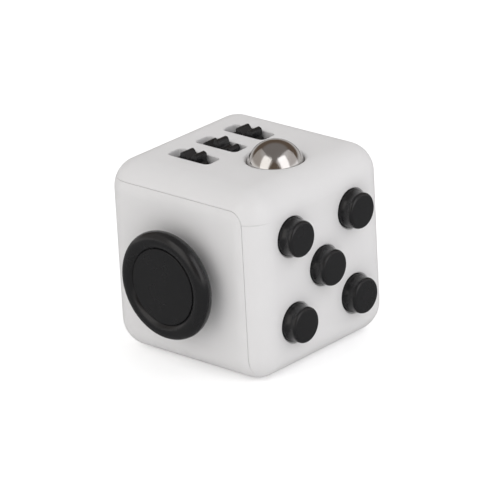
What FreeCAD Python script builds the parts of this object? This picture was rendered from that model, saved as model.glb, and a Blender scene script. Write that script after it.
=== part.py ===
import FreeCAD, Part
import math
import os

# Fidget cube: a pocket-sized desk toy with a different control on each face.
# Frame: origin at the centre of the bottom face, +Z up, +X out of the button face and -Y out of the
# joystick face. All sizes are in millimetres.

Vector = FreeCAD.Vector

# ---------------------------------------------------------------- casing
side = 33.0                 # outside of the cube, face to face
wall = 3.0                  # thickness of all six walls
edge_radius = 5.0           # outside rounding of every edge and corner
seam_gap = 0.04             # hairline between the two halves of the casing
seam_corner = 2.2           # rounding of the lower half's free corners
seam_softening = 0.05       # broken edge on both sides of the seam
snap_radius = 0.5           # half-round snap rib on the lower half
snap_length = 6.0
snap_clearance = 0.08
opening_softening = 0.25    # rounding of the slot mouths on the outside

# ---------------------------------------------------------------- common fasteners
screw_radius = 0.95
screw_core_clearance = 0.02
screw_clearance = 0.15      # clearance hole over the screw
screw_bite = 2.2            # length that goes into the wall
screw_head_radius = 1.7
screw_head_height = 1.0
screw_point = 0.6
boss_radius = 1.95
part_gap = 0.05             # air left between fixed pieces that seat on each other

# ---------------------------------------------------------------- buttons
button_pitch = 7.45         # from the middle button to each outer one, along both axes
button_base_radius = 3.2
button_cap_radius = 2.9
button_height = 2.4
button_base_height = 0.4
button_cap_start = 1.05     # height where the hollow flank meets the cap
button_flange_radius = 4.0
button_flange_thickness = 0.9
button_post_radius = 1.1
button_post_length = 3.0
button_travel = 1.2
button_clearance = 0.1
button_spring_radius = 2.6
button_spring_wire = 0.36
button_spring_turns = 4.5
button_spring_height = 4.0
button_plate_thickness = 1.4
button_plate_margin = 0.2   # plate edge outside the outer springs
button_plate_notch = 0.15   # air round the ball's housing
button_pocket_clearance = 0.3
button_pocket_depth = 0.6
click_dome_radius = 1.8
click_dome_height = 0.5
click_dome_thickness = 0.14

# ---------------------------------------------------------------- joystick
stick_drop = 0.6            # joystick's centre below the middle of its face
stick_rim_radius = 7.75     # centre line of the rounded rim
stick_rim_roll = 1.5        # radius of that rim's section
stick_rim_height = 3.35     # centre of the rim above the face
stick_dish_radius = 6.45
stick_dish_height = 4.05    # floor of the dish above the face
stick_web_height = 2.1      # back of the disc above the face
stick_ball_radius = 3.6
stick_ball_clearance = 0.06
stick_pivot_depth = 1.2
stick_ball_end = 3.4        # depth where the ball ends and the stem starts
stick_stem_radius = 1.7
stick_spring_radius = 3.9
stick_spring_wire = 0.5
stick_spring_turns = 4.5
stick_spring_height = 5.6
stick_washer_radius = 4.2
stick_washer_thickness = 1.0

# ---------------------------------------------------------------- spin dial
dial_radius = 9.0
dial_clearance = 0.2
dial_pocket_depth = 1.2
dial_height = 1.5
dial_rim_width = 1.3
dial_dish_depth = 0.45
dial_edge_rounding = 0.5
dial_nub_radius = 1.7
dial_nub_height = 1.0
dial_nub_offset = 5.3
dial_boss_radius = 2.2
dial_boss_clearance = 0.08
dial_end_play = 0.1
dial_washer_radius = 4.2
dial_washer_thickness = 0.8

# ---------------------------------------------------------------- rocker switch
rocker_width = 7.6
rocker_reach = 6.6          # radius of the rocker's ends about its pin
rocker_clearance = 0.15
rocker_pivot_depth = 1.6
rocker_end_height = 1.9     # top of each end above the face, when level
rocker_middle_height = 1.0
rocker_floor_depth = 3.4
rocker_tilt = 9.0           # degrees each side of level
rocker_nose_depth = 5.9
rocker_nose_radius = 1.0
rocker_pin_radius = 0.8
rocker_pin_clearance = 0.05
rocker_pin_length = 11.2
bracket_thickness = 1.0
bracket_width = 11.4
bracket_leg_gap = 0.25      # air between the legs and the rocker's window
bracket_depth = 8.2         # back of the bracket behind the outer face
bracket_cheek_length = 3.2
leaf_thickness = 0.25
leaf_width = 3.0
leaf_span = 6.4             # half of its length
leaf_gap = 0.03             # air between the leaf's crest and the resting nose
leaf_crest_radius = 1.2
leaf_bend = 2.6             # half of the crest's base

# ---------------------------------------------------------------- gear wheels
gear_teeth = 9
gear_tip_radius = 4.25
gear_root_radius = 3.05
gear_tip_rounding = 0.38
gear_root_rounding = 0.3
gear_tip_share = 0.26       # half of a tooth's top, as a share of half its pitch
gear_root_share = 0.30      # half of the valley floor, as a share of half the pitch
gear_width = 2.5
gear_side_clearance = 0.45
gear_end_clearance = 0.2
gear_pitch = 6.8            # from one wheel to the next, along the axle
gear_row_x = -4.65
gear_axle_depth = 3.2       # axle below the outer face
gear_axle_radius = 0.75
gear_bore_clearance = 0.05
slot_corner_radius = 0.8
cradle_half_width = 3.2
cradle_floor = 0.9
cradle_floor_clearance = 0.25
cradle_wall_gap = 0.2       # air between the lugs and the front and back walls
cradle_end_cover = 0.2      # cradle past each end of the axle
cradle_lug_width = 4.0
cradle_lug_thickness = 1.8

# ---------------------------------------------------------------- rolling ball
ball_radius = 4.85
ball_x = 7.0
ball_sink = 1.7             # centre of the ball below the outer face
ball_clearance = 0.08
ball_throat_grip = 0.07     # the mouth is this much smaller than the ball's radius
ball_lip = 0.62             # rounding of the mouth's edge
ball_travel = 1.0
cup_radius = 3.9
cup_rim = 0.5
cup_floor = 1.2
cup_skirt_length = 1.6
cup_skirt_thickness = 0.8
cup_clearance = 0.1
cup_seat_clearance = 0.03
ball_spring_radius = 2.85
ball_spring_wire = 0.42
ball_spring_turns = 3.5
housing_tube_thickness = 0.8
housing_floor = 1.0
housing_flange_thickness = 1.6
housing_flange_rim = 0.9
housing_button_gap = 0.2    # housing's foot clear of the middle button's flange
housing_flare = 0.9         # height of the cone from the sleeve up to the flange
housing_lug_back = 2.5      # lugs from the ball's centre, towards the gear wheels
housing_lug_reach = 1.37    # lug centres outside the flange's radius

# ---------------------------------------------------------------- worry stone
dish_depth = 2.0
dish_long_radius = 28.0     # hollow's curvature along Y
dish_cross_radius = 20.0    # hollow's curvature along X
dish_softening = 0.8
dish_pad_radius = 7.5
dish_pad_height = 0.8

# ---------------------------------------------------------------- derived places
half = side / 2
inner = half - wall
big = 2 * side
FACES = {
    "top": (Vector(1, 0, 0), Vector(0, 1, 0), Vector(0, 0, 1)),
    "bottom": (Vector(1, 0, 0), Vector(0, -1, 0), Vector(0, 0, -1)),
    "right": (Vector(0, 1, 0), Vector(0, 0, 1), Vector(1, 0, 0)),
    "left": (Vector(0, -1, 0), Vector(0, 0, 1), Vector(-1, 0, 0)),
    "front": (Vector(1, 0, 0), Vector(0, 0, 1), Vector(0, -1, 0)),
    "back": (Vector(-1, 0, 0), Vector(0, 0, 1), Vector(0, 1, 0)),
}
BUTTONS = {
    "front_top": (-button_pitch, button_pitch),
    "back_top": (button_pitch, button_pitch),
    "middle": (0.0, 0.0),
    "front_bottom": (-button_pitch, -button_pitch),
    "back_bottom": (button_pitch, -button_pitch),
}
CLICKING = ("front_top", "middle", "back_bottom")
PLATE_SCREWS = ((-button_pitch, 0.0), (button_pitch, 0.0), (0.0, -button_pitch))
GEARS = {"front": -gear_pitch, "middle": 0.0, "back": gear_pitch}
GEAR_TURN = {"front": 0.5, "middle": 0.0, "back": 0.5}     # in tooth pitches

bracket_leg_offset = rocker_reach + rocker_clearance + bracket_leg_gap
bracket_foot_length = 2 * boss_radius
plate_front = -wall - button_flange_thickness - part_gap - button_spring_height
plate_back = plate_front - button_plate_thickness
slot_width = gear_width + 2 * gear_side_clearance
slot_length = 2 * (gear_tip_radius + gear_end_clearance)
cradle_screw_y = inner - cradle_wall_gap - boss_radius
cradle_half_length = cradle_screw_y - screw_head_radius - part_gap
axle_half_length = cradle_half_length - cradle_end_cover
ball_depth_at_rim = math.sqrt(ball_radius ** 2 - (cup_radius - cup_rim) ** 2)
cup_top = -ball_sink - ball_depth_at_rim
cup_seat_bottom = -ball_sink - ball_radius - cup_floor
housing_bore_radius = cup_radius + cup_clearance
housing_tube_radius = housing_bore_radius + housing_tube_thickness
housing_bottom = button_flange_radius + housing_button_gap + housing_floor - half
ball_spring_height = cup_seat_bottom - housing_bottom - part_gap
housing_step = cup_top - ball_travel


# ---------------------------------------------------------------- drawing helpers
def place(shape, face):
    """Carries a shape from a face's own frame to the cube. There, X runs right and Y up as the face
    is looked at, Z points out of the wall, and the origin is the middle of the outer surface."""
    right, up, out = FACES[face]
    centre = Vector(0, 0, half) + out * half
    matrix = FreeCAD.Matrix(
        right.x, up.x, out.x, centre.x,
        right.y, up.y, out.y, centre.y,
        right.z, up.z, out.z, centre.z,
        0, 0, 0, 1)
    moved = shape.copy()
    moved.Placement = FreeCAD.Placement(matrix).multiply(moved.Placement)
    return moved


def loop(corners, point):
    """A closed wire through corners (a, b, rounding), each rounded by a tangent arc. point turns
    (a, b) into a Vector."""
    count = len(corners)
    ends = []
    for i, (a, b, radius) in enumerate(corners):
        before = corners[i - 1]
        after = corners[(i + 1) % count]
        u = Vector(before[0] - a, before[1] - b, 0).normalize()
        v = Vector(after[0] - a, after[1] - b, 0).normalize()
        here = Vector(a, b, 0)
        if radius <= 0:
            ends.append((here, None, here))
            continue
        angle = u.getAngle(v)
        reach = radius / math.tan(angle / 2)
        middle = here + (u + v).normalize() * (radius / math.sin(angle / 2) - radius)
        ends.append((here + u * reach, middle, here + v * reach))
    edges = []
    for i, (start, middle, end) in enumerate(ends):
        if middle is not None:
            arc = [point(p.x, p.y) for p in (start, middle, end)]
            edges.append(Part.Arc(*arc).toShape())
        following = ends[(i + 1) % count][0]
        if (following - end).Length > 1e-6:
            edges.append(Part.LineSegment(point(end.x, end.y), point(following.x, following.y)).toShape())
    return Part.Wire(edges)


def lathe(corners, x=0.0, y=0.0):
    """A turned piece about a face-frame Z axis at (x, y), from corners (radius, z, rounding)."""
    face = Part.Face(loop(corners, lambda r, z: Vector(x + r, y, z)))
    return face.revolve(Vector(x, y, 0), Vector(0, 0, 1), 360)


def prism(corners, low, high):
    """An upright prism between two heights, from corners (x, y, rounding)."""
    face = Part.Face(loop(corners, lambda a, b: Vector(a, b, low)))
    return face.extrude(Vector(0, 0, high - low))


def slab(x_middle, y_middle, x_size, y_size, low, high, rounding=0.0):
    """A flat block with rounded upright edges."""
    x0, x1 = x_middle - x_size / 2, x_middle + x_size / 2
    y0, y1 = y_middle - y_size / 2, y_middle + y_size / 2
    return prism([(x0, y0, rounding), (x1, y0, rounding), (x1, y1, rounding), (x0, y1, rounding)],
                 low, high)


def rod(radius, x, y, low, high):
    """A round bar along a face-frame Z axis."""
    return Part.makeCylinder(radius, high - low, Vector(x, y, low))


def cross_rod(radius, start, end):
    """A round bar between two points."""
    run = end - start
    return Part.makeCylinder(radius, run.Length, start, run)


def ball(radius, x, y, z):
    """A sphere."""
    return Part.makeSphere(radius, Vector(x, y, z))


def joined(shapes):
    """One solid from several that touch or overlap."""
    first, *rest = shapes
    return first.fuse(rest).removeSplitter() if rest else first


def coil(outer_radius, wire, turns, bottom, height, x=0.0, y=0.0):
    """A compression spring of round wire along a face-frame Z axis, standing on bottom."""
    mean = outer_radius - wire / 2
    rise = height - wire
    helix = Part.makeHelix(rise / turns, rise, mean)
    circle = Part.Circle(Vector(mean, 0, 0), Vector(0, 1, 0), wire / 2)
    third = 2 * math.pi / 3
    section = Part.Wire([Part.Arc(circle, (i + 0.75) * third, (i + 1.75) * third).toShape()
                         for i in range(3)])
    spring = Part.Wire(helix.Edges).makePipeShell([section], True, True)
    spring.translate(Vector(x, y, bottom + wire / 2))
    return spring


def screw(x, y, seat, length):
    """A cross-head screw pointing out of the face, its head seated at height seat."""
    tip = seat + length
    body = lathe([(0, seat - screw_head_height, 0),
                  (screw_head_radius * 0.75, seat - screw_head_height, 0),
                  (screw_head_radius, seat - screw_head_height * 0.55, 0.2),
                  (screw_head_radius, seat, 0),
                  (screw_radius, seat, 0),
                  (screw_radius, tip - screw_point, 0),
                  (screw_radius * 0.35, tip, 0),
                  (0, tip, 0)], x, y)
    low = seat - screw_head_height
    arms = [slab(x, y, screw_head_radius * 1.2, 0.35, low - 0.1, low + 0.55),
            slab(x, y, 0.35, screw_head_radius * 1.2, low - 0.1, low + 0.55)]
    return body.cut(joined(arms))


def screw_hole(x, y, low, depth):
    """The hole that a screw taps for itself, from height low outwards."""
    return rod(screw_radius + screw_core_clearance, x, y, low, low + depth)


# ---------------------------------------------------------------- casing
def hollow_cube():
    """The outer skin of both halves together, with its cavity."""
    block = Part.makeBox(side, side, side, Vector(-half, -half, 0))
    block = block.makeFillet(edge_radius, block.Edges)
    cavity = Part.makeBox(2 * inner, 2 * inner, 2 * inner, Vector(-inner, -inner, wall))
    return block.cut(cavity)


def lower_region(growth):
    """The space that the lower half takes up: floor, front and left walls, up to three rounded
    edges. Grown by the seam's gap, it is the space that the upper half leaves free."""
    edge = inner - seam_gap + growth
    top = side - wall - seam_gap + growth
    block = Part.makeBox(side + edge, side + edge, side + top, Vector(-side, -side, -side))
    far = Vector(edge, edge, top)
    meeting = [e for e in block.Edges if any(v.Point.distanceToPoint(far) < 1e-6 for v in e.Vertexes)]
    return block.makeFillet(seam_corner + growth, meeting)


def snap_ribs(radius, length):
    """The half-round ribs on the lower half's free ends: one each on the front and left walls, and
    two on the floor."""
    edge = inner - seam_gap
    depth = half - wall * 0.55
    middle = [(Vector(edge, -depth, half), Vector(0, 0, 1)),
              (Vector(-depth, edge, half), Vector(0, 0, 1)),
              (Vector(edge, 0, half - depth), Vector(0, 1, 0)),
              (Vector(0, edge, half - depth), Vector(1, 0, 0))]
    return [cross_rod(radius, at - along * (length / 2), at + along * (length / 2))
            for at, along in middle]


def soften_seam(shape, skin):
    """Rounds the seam's outer edges, where they lie on the cube's outside."""
    seam = lower_region(seam_gap / 2).Shells[0]
    picked = []
    for edge in shape.Edges:
        if edge.Degenerated:
            continue
        points = [Part.Vertex(p) for p in edge.discretize(7)]
        on_skin = all(skin.distToShape(p)[0] < 1e-4 for p in points)
        if on_skin and all(seam.distToShape(p)[0] < seam_gap * 0.51 for p in points):
            picked.append(edge)
    return shape.makeFillet(seam_softening, picked)


def make_casing():
    """The two interlocking halves, before their openings are cut."""
    cube = hollow_cube()
    skin = Part.makeBox(side, side, side, Vector(-half, -half, 0))
    skin = skin.makeFillet(edge_radius, skin.Edges).Shells[0]
    lower = soften_seam(cube.common(lower_region(0.0)).Solids[0], skin)
    upper = soften_seam(cube.cut(lower_region(seam_gap)).Solids[0], skin)
    lower = lower.fuse(snap_ribs(snap_radius, snap_length))
    upper = upper.cut(snap_ribs(snap_radius + snap_clearance, snap_length + 2 * snap_clearance))
    return upper, lower


def make_upper_shell(upper):
    """Top, right and back walls with the openings, bosses and grooves of their controls."""
    cuts = []
    bosses = []
    for shape in gear_openings() + ball_openings() + top_screw_holes():
        cuts.append(place(shape, "top"))
    for shape in button_openings():
        cuts.append(place(shape, "right"))
    for x, y in PLATE_SCREWS:
        boss = rod(boss_radius, x, y, plate_front + part_gap, -wall)
        bosses.append(place(boss, "right"))
        cuts.append(place(screw_hole(x, y, plate_front, -plate_front - wall + 1.0), "right"))
    cuts.append(place(dial_pocket(), "back"))
    return upper.fuse(bosses).cut(cuts).removeSplitter()


def make_lower_shell(lower):
    """Floor, front and left walls: the hollow of the worry stone, the joystick's socket and the
    rocker's window."""
    pad = place(rod(dish_pad_radius, 0, 0, -wall - dish_pad_height, -wall), "bottom")
    hollow = place(worry_hollow(), "bottom")
    cuts = [place_stick(stick_socket())] + [place(s, "left") for s in rocker_openings()]
    shell = lower.fuse(pad).cut(hollow)
    rim = [e for e in shell.Edges if rim_of_hollow(e)]
    shell = shell.makeFillet(dish_softening, rim)
    return shell.cut(cuts).removeSplitter()


def rim_of_hollow(edge):
    """Whether an edge is part of the oval where the hollow meets the bottom face."""
    if edge.Degenerated:
        return False
    points = edge.discretize(5)
    flat = all(abs(p.z) < 1e-4 for p in points)
    return flat and all(abs(p.x) < half - edge_radius for p in points)


def worry_hollow():
    """The oval hollow: an arc across the face, swept round a longer arc along it."""
    lift = 1.0
    spread = math.sqrt(dish_cross_radius ** 2 - (dish_cross_radius - dish_depth - lift) ** 2)
    low = Vector(0, 0, -dish_depth)
    left = Vector(-spread, 0, lift)
    right = Vector(spread, 0, lift)
    arc = Part.Arc(left, low, right).toShape()
    lid = Part.LineSegment(right, left).toShape()
    segment = Part.Face(Part.Wire([arc, lid]))
    swing = math.degrees(math.acos((dish_long_radius - dish_depth - lift) / dish_long_radius)) + 2
    centre = Vector(0, 0, dish_long_radius - dish_depth)
    segment.rotate(centre, Vector(1, 0, 0), -swing)
    return segment.revolve(centre, Vector(1, 0, 0), 2 * swing)


def mouth_ring(x, y, x_size, y_size, rounding):
    """What a rounded edge takes off round a slot's mouth: a prism that flares towards the face."""
    flare = 2 * opening_softening
    steps = 5
    shapes = []
    for i in range(steps):
        a = math.pi / 2 * (i + 0.5) / steps
        grow = opening_softening * (1 - math.sin(a))
        depth = opening_softening * (1 - math.cos(a))
        shapes.append(slab(x, y, x_size + 2 * grow, y_size + 2 * grow, -depth, flare, rounding + grow))
    return shapes


# ---------------------------------------------------------------- buttons
def button_openings():
    """The round holes of the five buttons."""
    radius = button_base_radius + button_clearance
    cuts = []
    for x, y in BUTTONS.values():
        soft = opening_softening
        cuts.append(lathe([(0, -wall - 0.2, 0), (radius, -wall - 0.2, 0), (radius, -soft, 0),
                           (radius + soft, 0, 0), (radius + soft, 1, 0), (0, 1, 0)], x, y))
    return cuts


def make_button(x, y):
    """A stepped cap with the flange that keeps it in and the post that its spring stands on."""
    flange_top = -wall - part_gap
    flange_low = flange_top - button_flange_thickness
    return lathe([(0, flange_low - button_post_length, 0),
                  (button_post_radius, flange_low - button_post_length, 0.3),
                  (button_post_radius, flange_low, 0),
                  (button_flange_radius, flange_low, 0.2),
                  (button_flange_radius, flange_top, 0.2),
                  (button_base_radius, flange_top, 0),
                  (button_base_radius, button_base_height, 0.3),
                  (button_cap_radius + 0.12, button_cap_start - 0.1, 0.5),
                  (button_cap_radius, button_height, 0.4),
                  (0, button_height, 0)], x, y)


def make_button_spring(x, y):
    """The return spring between the plate and a button's flange."""
    gap = part_gap / 2
    return coil(button_spring_radius, button_spring_wire, button_spring_turns,
                plate_front + gap, button_spring_height - part_gap, x, y)


def make_click_dome(x, y):
    """A thin snap dome under a clicking button's post."""
    rise = click_dome_height - click_dome_thickness
    radius = (click_dome_radius ** 2 + rise ** 2) / (2 * rise)
    centre = plate_front + 0.02 + rise - radius
    shell = ball(radius + click_dome_thickness, x, y, centre).cut(ball(radius, x, y, centre))
    return shell.common(rod(click_dome_radius, x, y, plate_front + 0.02, plate_front + 1.0))


def make_button_plate():
    """The backing plate of the springs, notched at the top for the ball's housing."""
    reach = button_pitch + button_spring_radius + button_plate_margin
    notch_half = housing_tube_radius + button_plate_notch
    notch_floor = half + housing_bottom - housing_floor - 2 * button_plate_notch
    plate = prism([(-reach, -reach, 2), (reach, -reach, 2), (reach, reach, 2), (notch_half, reach, 0.8),
                   (notch_half, notch_floor, 0.8), (-notch_half, notch_floor, 0.8),
                   (-notch_half, reach, 0.8), (-reach, reach, 2)], plate_back, plate_front)
    cuts = []
    for x, y in BUTTONS.values():
        cuts.append(rod(button_post_radius + button_pocket_clearance, x, y,
                        plate_front - button_pocket_depth, plate_front + 1))
    for x, y in PLATE_SCREWS:
        cuts.append(rod(screw_radius + screw_clearance, x, y, plate_back - 1, plate_front + 1))
    return plate.cut(cuts)


def make_plate_screws():
    """The screws that hold the plate to its bosses."""
    length = button_plate_thickness + 3.6
    return Part.makeCompound([screw(x, y, plate_back, length) for x, y in PLATE_SCREWS])


# ---------------------------------------------------------------- joystick
def stick_socket():
    """The round seat in the wall: a cylinder outside the pivot, and part of a sphere inside it."""
    radius = stick_ball_radius + stick_ball_clearance
    bore = rod(radius, 0, 0, -stick_pivot_depth, 1)
    return bore.fuse(ball(radius, 0, 0, -stick_pivot_depth))


def place_stick(shape):
    """Carries a shape of the joystick to the front face, a little below its middle."""
    lowered = shape.copy()
    lowered.translate(Vector(0, -stick_drop, 0))
    return place(lowered, "front")


def make_thumb_disc():
    """The dished disc, its ball and its stem in one piece."""
    rim = Part.makeTorus(stick_rim_radius, stick_rim_roll, Vector(0, 0, stick_rim_height))
    crest = stick_rim_height + stick_rim_roll
    inside = stick_rim_radius - stick_rim_roll * 0.45
    web = lathe([(0, stick_web_height, 0),
                 (stick_rim_radius, stick_web_height - 0.1, 0),
                 (stick_rim_radius, crest - 0.35, 0),
                 (inside, crest - 0.22, 0.3),
                 (stick_dish_radius, stick_dish_height + 0.05, 0.12),
                 (stick_dish_radius - 0.25, stick_dish_height, 0),
                 (0, stick_dish_height, 0)])
    neck = lathe([(0, 0, 0), (2.6, 0, 0), (2.6, stick_web_height - 0.6, 0),
                  (3.6, stick_web_height + 0.1, 0), (0, stick_web_height + 0.1, 0)])
    knob = ball(stick_ball_radius, 0, 0, -stick_pivot_depth)
    knob = knob.common(rod(side, 0, 0, -stick_ball_end, stick_web_height + 0.3))
    stem_end = -wall - stick_spring_height - part_gap
    stem = rod(stick_stem_radius, 0, 0, stem_end, -stick_ball_end + 0.5)
    stick = joined([rim, web, neck, knob, stem])
    return stick.cut(screw_hole(0, 0, stem_end - 0.1, 4.2))


def make_stick_washer():
    """The cap on the stem that the spring pushes on."""
    top = -wall - stick_spring_height - part_gap
    low = top - stick_washer_thickness
    return lathe([(screw_radius + screw_clearance, low, 0), (stick_washer_radius, low, 0.3),
                  (stick_washer_radius, top, 0.2), (screw_radius + screw_clearance, top, 0)])


def make_stick_screw():
    """The screw up the stem."""
    seat = -wall - stick_spring_height - part_gap - stick_washer_thickness
    return screw(0, 0, seat, stick_washer_thickness + 3.6)


def make_stick_spring():
    """The spring that pulls the disc back to the middle."""
    gap = part_gap / 2
    bottom = -wall - stick_spring_height - part_gap + gap
    return coil(stick_spring_radius, stick_spring_wire, stick_spring_turns, bottom,
                stick_spring_height - gap)


# ---------------------------------------------------------------- spin dial
def dial_pocket():
    """The round pocket that the dial turns in, and the hole for its boss."""
    pocket = rod(dial_radius + dial_clearance, 0, 0, -dial_pocket_depth, 1)
    hole = rod(dial_boss_radius + dial_boss_clearance, 0, 0, -wall - 1, 0)
    return pocket.fuse(hole)


def make_spin_dial():
    """A rimmed disc with a finger nub near its edge, and a boss through the wall."""
    low = -dial_pocket_depth + dial_end_play
    boss_end = -wall - dial_end_play
    dish = dial_height - dial_dish_depth
    body = lathe([(0, boss_end, 0), (dial_boss_radius, boss_end, 0), (dial_boss_radius, low, 0),
                  (dial_radius, low, 0.2), (dial_radius, dial_height, dial_edge_rounding),
                  (dial_radius - dial_rim_width, dial_height, 0.35),
                  (dial_radius - dial_rim_width - 0.4, dish, 0.25), (0, dish, 0)])
    nub = lathe([(0, dish - 0.3, 0), (dial_nub_radius, dish - 0.3, 0),
                 (dial_nub_radius, dish + dial_nub_height, 0.5), (0, dish + dial_nub_height, 0)],
                0, dial_nub_offset)
    return body.fuse(nub).removeSplitter().cut(screw_hole(0, 0, boss_end - 0.1, 3.4))


def make_dial_washer():
    """The washer that keeps the dial in, clear of the wall."""
    top = -wall - dial_end_play
    hole = screw_radius + screw_clearance
    return lathe([(hole, top - dial_washer_thickness, 0), (dial_washer_radius, top - dial_washer_thickness, 0.2),
                  (dial_washer_radius, top, 0.2), (hole, top, 0)])


def make_dial_screw():
    """The screw into the dial's boss."""
    seat = -wall - dial_end_play - dial_washer_thickness
    return screw(0, 0, seat, dial_washer_thickness + 2.8)


# ---------------------------------------------------------------- rocker switch
def along_pin(radius, half_length):
    """A round bar on the rocker's pivot line."""
    return cross_rod(radius, Vector(-half_length, 0, -rocker_pivot_depth),
                     Vector(half_length, 0, -rocker_pivot_depth))


def rocker_openings():
    """The rocker's window, the grooves that take its pin and the holes for its bracket's screws."""
    width = rocker_width + 2 * rocker_clearance
    window = along_pin(rocker_reach + rocker_clearance, width / 2)
    window = window.common(slab(0, 0, width, 2 * rocker_reach + 2, -wall - 1, 1))
    seat = rocker_pin_radius + part_gap / 2
    groove = along_pin(seat, rocker_pin_length / 2 + part_gap)
    mouth = slab(0, 0, rocker_pin_length + 2 * part_gap, 2 * seat, -wall - 1, -rocker_pivot_depth)
    cuts = [window, groove.fuse(mouth)]
    for y in bracket_screw_places():
        cuts.append(screw_hole(0, y, -wall - 0.1, screw_bite + 0.2))
    return cuts


def bracket_screw_places():
    """Where the bracket's screws are, along the rocker."""
    middle = bracket_leg_offset + bracket_thickness + bracket_foot_length / 2
    return (-middle, middle)


def make_rocker():
    """The rocker, drawn level and then tilted to the side where it rests."""
    centre = -rocker_pivot_depth
    tall = rocker_end_height - centre
    end = math.sqrt(rocker_reach ** 2 - tall ** 2)
    low = -rocker_floor_depth
    half_width = rocker_width / 2
    outline = [(-end, rocker_end_height, 0.5), (0, rocker_middle_height, 9.0), (end, rocker_end_height, 0.5),
               (rocker_reach + 1, low + 1.2, 0), (rocker_reach + 1, low, 0), (-rocker_reach - 1, low, 0),
               (-rocker_reach - 1, low + 1.2, 0)]
    face = Part.Face(loop(outline, lambda a, b: Vector(-half_width, a, b)))
    body = face.extrude(Vector(rocker_width, 0, 0))
    body = body.common(along_pin(rocker_reach, half_width))
    hollow = slab(0, 0, rocker_width - 2.4, 2 * rocker_reach - 3.2, low - 1, centre - 0.9)
    core = slab(0, 0, rocker_width - 2.4, 3.2, low - 1, centre)
    nose_half = leaf_width / 2
    nose = cross_rod(rocker_nose_radius, Vector(-nose_half, 0, -rocker_nose_depth + rocker_nose_radius),
                     Vector(nose_half, 0, -rocker_nose_depth + rocker_nose_radius))
    shank = slab(0, 0, 2 * nose_half, 2 * rocker_nose_radius,
                 -rocker_nose_depth + rocker_nose_radius, centre)
    body = soften_sides(body, half_width)
    body = body.cut(hollow.cut(core)).fuse([nose, shank])
    body = body.cut(along_pin(rocker_pin_radius + rocker_pin_clearance, half_width + 1))
    body = body.removeSplitter()
    body.rotate(Vector(0, 0, centre), Vector(1, 0, 0), -rocker_tilt)
    return body


def soften_sides(body, half_width):
    """Rounds the rocker's two long upper edges."""
    picked = []
    for edge in body.Edges:
        if edge.Degenerated:
            continue
        points = edge.discretize(5)
        flat_side = all(abs(abs(p.x) - half_width) < 1e-4 for p in points)
        if flat_side and all(p.z > rocker_middle_height - 0.4 for p in points):
            picked.append(edge)
    return body.makeFillet(0.35, picked)


def make_rocker_pin():
    """The steel pin."""
    return along_pin(rocker_pin_radius, rocker_pin_length / 2)


def make_rocker_bracket():
    """The hat-shaped bracket behind the rocker: two feet, two legs and a back, with cheeks that keep
    the pin in its grooves."""
    t = bracket_thickness
    leg = bracket_leg_offset
    toe = leg + t + bracket_foot_length
    top = -wall - part_gap
    back = -bracket_depth
    outline = [(-toe, top, 0.3), (-toe, top - t, 0.3), (-leg - t, top - t, 0.4), (-leg - t, back, 0.6),
               (leg + t, back, 0.6), (leg + t, top - t, 0.4), (toe, top - t, 0.3), (toe, top, 0.3),
               (leg, top, 0.3), (leg, back + t, 0.5), (-leg, back + t, 0.5), (-leg, top, 0.3)]
    face = Part.Face(loop(outline, lambda a, b: Vector(-bracket_width / 2, a, b)))
    hat = face.extrude(Vector(bracket_width, 0, 0))
    pin_low = -rocker_pivot_depth - rocker_pin_radius - part_gap
    cheeks = []
    for sign in (-1, 1):
        inside = rocker_width / 2 + rocker_clearance + 0.35
        outside = rocker_pin_length / 2 - 0.1
        middle = sign * (inside + outside) / 2
        width = outside - inside
        cheeks.append(slab(middle, 0, width, bracket_cheek_length, back, top))
        cheeks.append(slab(middle, 0, width, 2 * rocker_pin_radius - 0.2, top - 0.5, pin_low))
    bracket = joined([hat] + cheeks)
    holes = [rod(screw_radius + screw_clearance, 0, y, -wall - t - 1, -wall + 1)
             for y in bracket_screw_places()]
    return bracket.cut(holes)


def make_bracket_screws():
    """The screws through the bracket's feet."""
    seat = -wall - part_gap - bracket_thickness
    length = bracket_thickness + part_gap + screw_bite
    return Part.makeCompound([screw(0, y, seat, length) for y in bracket_screw_places()])


def make_leaf_spring():
    """The bent strip whose crest the rocker's nose snaps over."""
    swing = math.radians(rocker_tilt)
    reach = rocker_nose_depth - rocker_nose_radius - rocker_pivot_depth
    nose_y = reach * math.sin(swing)
    nose_z = -rocker_pivot_depth - reach * math.cos(swing)
    touching = rocker_nose_radius + leaf_crest_radius + leaf_gap
    crest = nose_z - math.sqrt(touching ** 2 - nose_y ** 2) + leaf_crest_radius
    t = leaf_thickness
    foot = -bracket_depth + bracket_thickness + part_gap
    slope = math.atan((crest - foot - t) / leaf_bend)
    peak = crest + leaf_crest_radius * (1 / math.cos(slope) - 1)
    under = peak - t / math.cos(slope)
    inset = t * math.tan(slope / 2)
    outline = [(-leaf_span, foot, 0), (-leaf_bend + inset, foot, 0.3), (0, under, leaf_crest_radius - t),
               (leaf_bend - inset, foot, 0.3), (leaf_span, foot, 0), (leaf_span, foot + t, 0),
               (leaf_bend, foot + t, 0.5), (0, peak, leaf_crest_radius), (-leaf_bend, foot + t, 0.5),
               (-leaf_span, foot + t, 0)]
    face = Part.Face(loop(outline, lambda a, b: Vector(-leaf_width / 2, a, b)))
    return face.extrude(Vector(leaf_width, 0, 0))


# ---------------------------------------------------------------- gear wheels
def gear_openings():
    """The three slots and the groove that holds the upper half of the axle."""
    cuts = []
    for y in GEARS.values():
        cuts.append(slab(gear_row_x, y, slot_length, slot_width, -wall - 1, 1, slot_corner_radius))
        cuts.extend(mouth_ring(gear_row_x, y, slot_length, slot_width, slot_corner_radius))
    seat = gear_axle_radius + part_gap / 2
    reach = axle_half_length + part_gap
    cuts.append(cross_rod(seat, Vector(gear_row_x, -reach, -gear_axle_depth),
                          Vector(gear_row_x, reach, -gear_axle_depth)))
    if wall > gear_axle_depth:
        cuts.append(slab(gear_row_x, 0, 2 * seat, 2 * reach, -wall - 1, -gear_axle_depth))
    return cuts


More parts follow.
